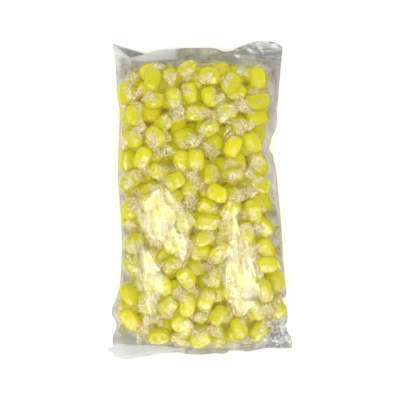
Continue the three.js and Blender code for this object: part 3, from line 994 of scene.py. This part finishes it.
def fold_material():
    """The folded corner: several plies of film, and darker still with painted shade, so the darkest."""
    s = Shader("film_fold")
    normal = s.bump(s.noise(260, 3, 0.6), 0.0005, 0.7)
    clear = s.ramp(s.noise(500, 2), [(0.35, (0.36, 0.36, 0.35, 1)), (0.65, (0.52, 0.52, 0.5, 1))])
    return s.finish(clear_film(s, clear, (0.7, 0.7, 0.7, 1), 0.1, 1.2, 0.2, normal))


def sleeve_material():
    """A wrapper's sleeve: clear, with painted highlights on the facets that face the low lights, and pale
    where it's seen edge on.
    """
    s = Shader("wrapper_sleeve")
    glint = s.attribute("glint")
    fine = s.noise(520, 3, 0.6)
    normal = s.bump(fine, 0.0006, 0.6)
    # Painted highlight: the glint facets turn milky cream.
    patch = s.times(glint, s.greys(fine, [(0.35, 0.35), (0.6, 1)]))
    milk = s.plus(0.01, s.times(patch, 0.85), s.times(s.facing(0.35), 0.3))
    shine = s.plus(0.3, s.times(glint, 2.0))
    color = s.ramp(glint, [(0.15, srgb(238, 230, 90)), (0.6, srgb(250, 243, 150)), (1, srgb(255, 250, 200))])
    return s.finish(clear_film(s, (0.995, 0.99, 0.94, 1), color, milk, shine, 0.14, normal, 0.3))


def twist_material():
    """A wrapper's twisted end: crinkled, each facet milky or clear with painted highlights and shade, and
    clear along its cut edge.
    """
    s = Shader("wrapper_twist")
    fine, deep = s.noise(600, 3, 0.65), s.attribute("deep")
    facet = s.plus(s.attribute("facet"), s.times(s.minus(fine, 0.5), 0.5))
    normal = s.bump(fine, 0.0006, 0.7)
    milk = s.greys(facet, [(0.0, 0.42), (0.2, 0.36), (0.26, 0.1), (0.46, 0.22), (0.66, 0.5), (0.85, 0.85)])
    milk = s.times(milk, s.minus(1.0, s.times(s.attribute("rim"), 0.9)))
    # Painted highlights and shade: each facet lighter or darker by its draw, standing in for the crinkles
    # catching the light.
    shade = s.ramp(facet, [
        (0.14, srgb(172, 152, 68)), (0.26, srgb(204, 188, 118)), (0.62, srgb(236, 221, 160)),
        (0.87, srgb(255, 250, 230)),
    ])
    warm = s.ramp(s.attribute("tint"), [
        (0, srgb(250, 240, 230)), (0.6, srgb(252, 252, 236)), (1, srgb(255, 255, 215)),
    ])
    # Buried twists are a flat yellow: painted light from the candies around them.
    color = s.blend(deep, s.blend(1.0, shade, warm, "MULTIPLY"), srgb(226, 212, 60))
    return s.finish(clear_film(s, (0.98, 0.97, 0.91, 1), color, milk, 2.2, 0.12, normal, 0.12))


def floor_material():
    s = Shader("floor")
    color = s.ramp(s.noise(2, 2), [(0, (0.96, 0.96, 0.96, 1)), (1, (0.98, 0.98, 0.98, 1))])
    return s.finish(s.add("ShaderNodeBsdfDiffuse", {"Color": color}).outputs[0])


# ---- The bag ----

film_look, back_look = bag_material(), back_material()
film = build_film(film_look)
back = build_back(back_look)
seam = build_seam(back_look)
corner = build_corner_fold(fold_material())
sweets = build_candies(candy_material())
sleeves = build_wrapper_films(sleeve_material())
twists = build_wrapper_twists(twist_material())

for piece, slot in (
    (film, "film"), (back, "film"), (seam, "film"), (corner, "film"),
    (sweets, "candy"), (sleeves, "wrapper"), (twists, "wrapper"),
):
    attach(piece, "root")
    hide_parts("candy_bag")

# ---- Floor, light and camera ----

bpy.ops.mesh.primitive_plane_add(size=6, location=(0, 0, 0))
floor = bpy.context.object
floor.name = "floor"
floor.data.materials.append(floor_material())

# How bright the studio is by the sine of the height looked at: pale walls, dark straight above.
SKY = ((0.0, 0.45), (0.4, 0.8), (0.7, 1.0), (0.9, 0.75), (0.965, 0.12))
SKY_STRENGTH = 1.5
WARM = (1.0, 0.95, 0.71)  # the softboxes' colour
LENS, SENSOR, VIEW_WIDTH = 120, 36, 0.42  # the view's width at the middle of the bag, in metres

world = bpy.data.worlds.new("studio")
world.use_nodes = True
sky = world.node_tree
upward_part = sky.nodes.new("ShaderNodeSeparateXYZ")
sky.links.new(sky.nodes.new("ShaderNodeTexCoord").outputs["Generated"], upward_part.inputs[0])
fade = sky.nodes.new("ShaderNodeValToRGB")
sky.links.new(upward_part.outputs["Z"], fade.inputs["Fac"])
sky.links.new(fade.outputs["Color"], sky.nodes["Background"].inputs["Color"])
while len(fade.color_ramp.elements) < len(SKY):
    fade.color_ramp.elements.new(0.5)
for stop, (height, light) in zip(fade.color_ramp.elements, SKY):
    stop.position = height
    stop.color = (light, light, light, 1)
sky.nodes["Background"].inputs["Strength"].default_value = SKY_STRENGTH
bpy.context.scene.world = world


def softbox(name, place_at, width, height, radiance):
    """A studio light facing the bag. radiance is how bright it looks; white paper is about 1."""
    light = bpy.data.lights.new(name, "AREA")
    light.shape = "RECTANGLE"
    light.size, light.size_y = width, height
    light.energy = radiance * math.pi * width * height
    light.color = WARM
    lamp = bpy.data.objects.new(name, light)
    lamp.location = place_at
    lamp.rotation_euler = (-lamp.location).to_track_quat("-Z", "Y").to_euler()
    bpy.context.scene.collection.objects.link(lamp)


softbox("light_left", (-0.38, -0.32, 1.5), 0.62, 0.62, 3.3)
softbox("light_right", (0.38, -0.32, 1.5), 0.62, 0.62, 3.3)
softbox("light_low", (0.0, -0.95, 1.25), 0.7, 0.3, 5.0)

camera_data = bpy.data.cameras.new("camera")
camera_data.lens, camera_data.sensor_width = LENS, SENSOR
camera_data.dof.use_dof = False
camera_data.clip_end = 20
camera = bpy.data.objects.new("camera", camera_data)
camera.location = (0.0002, 0, VIEW_WIDTH * LENS / SENSOR + 0.017)
bpy.context.scene.collection.objects.link(camera)
bpy.context.scene.camera = camera

bpy.context.scene.view_settings.view_transform = "Standard"
bpy.context.scene.cycles.transparent_max_bounces = 40
bpy.context.scene.cycles.max_bounces = 10
bpy.context.scene.cycles.transmission_bounces = 8
bpy.context.scene.cycles.sample_clamp_indirect = 6
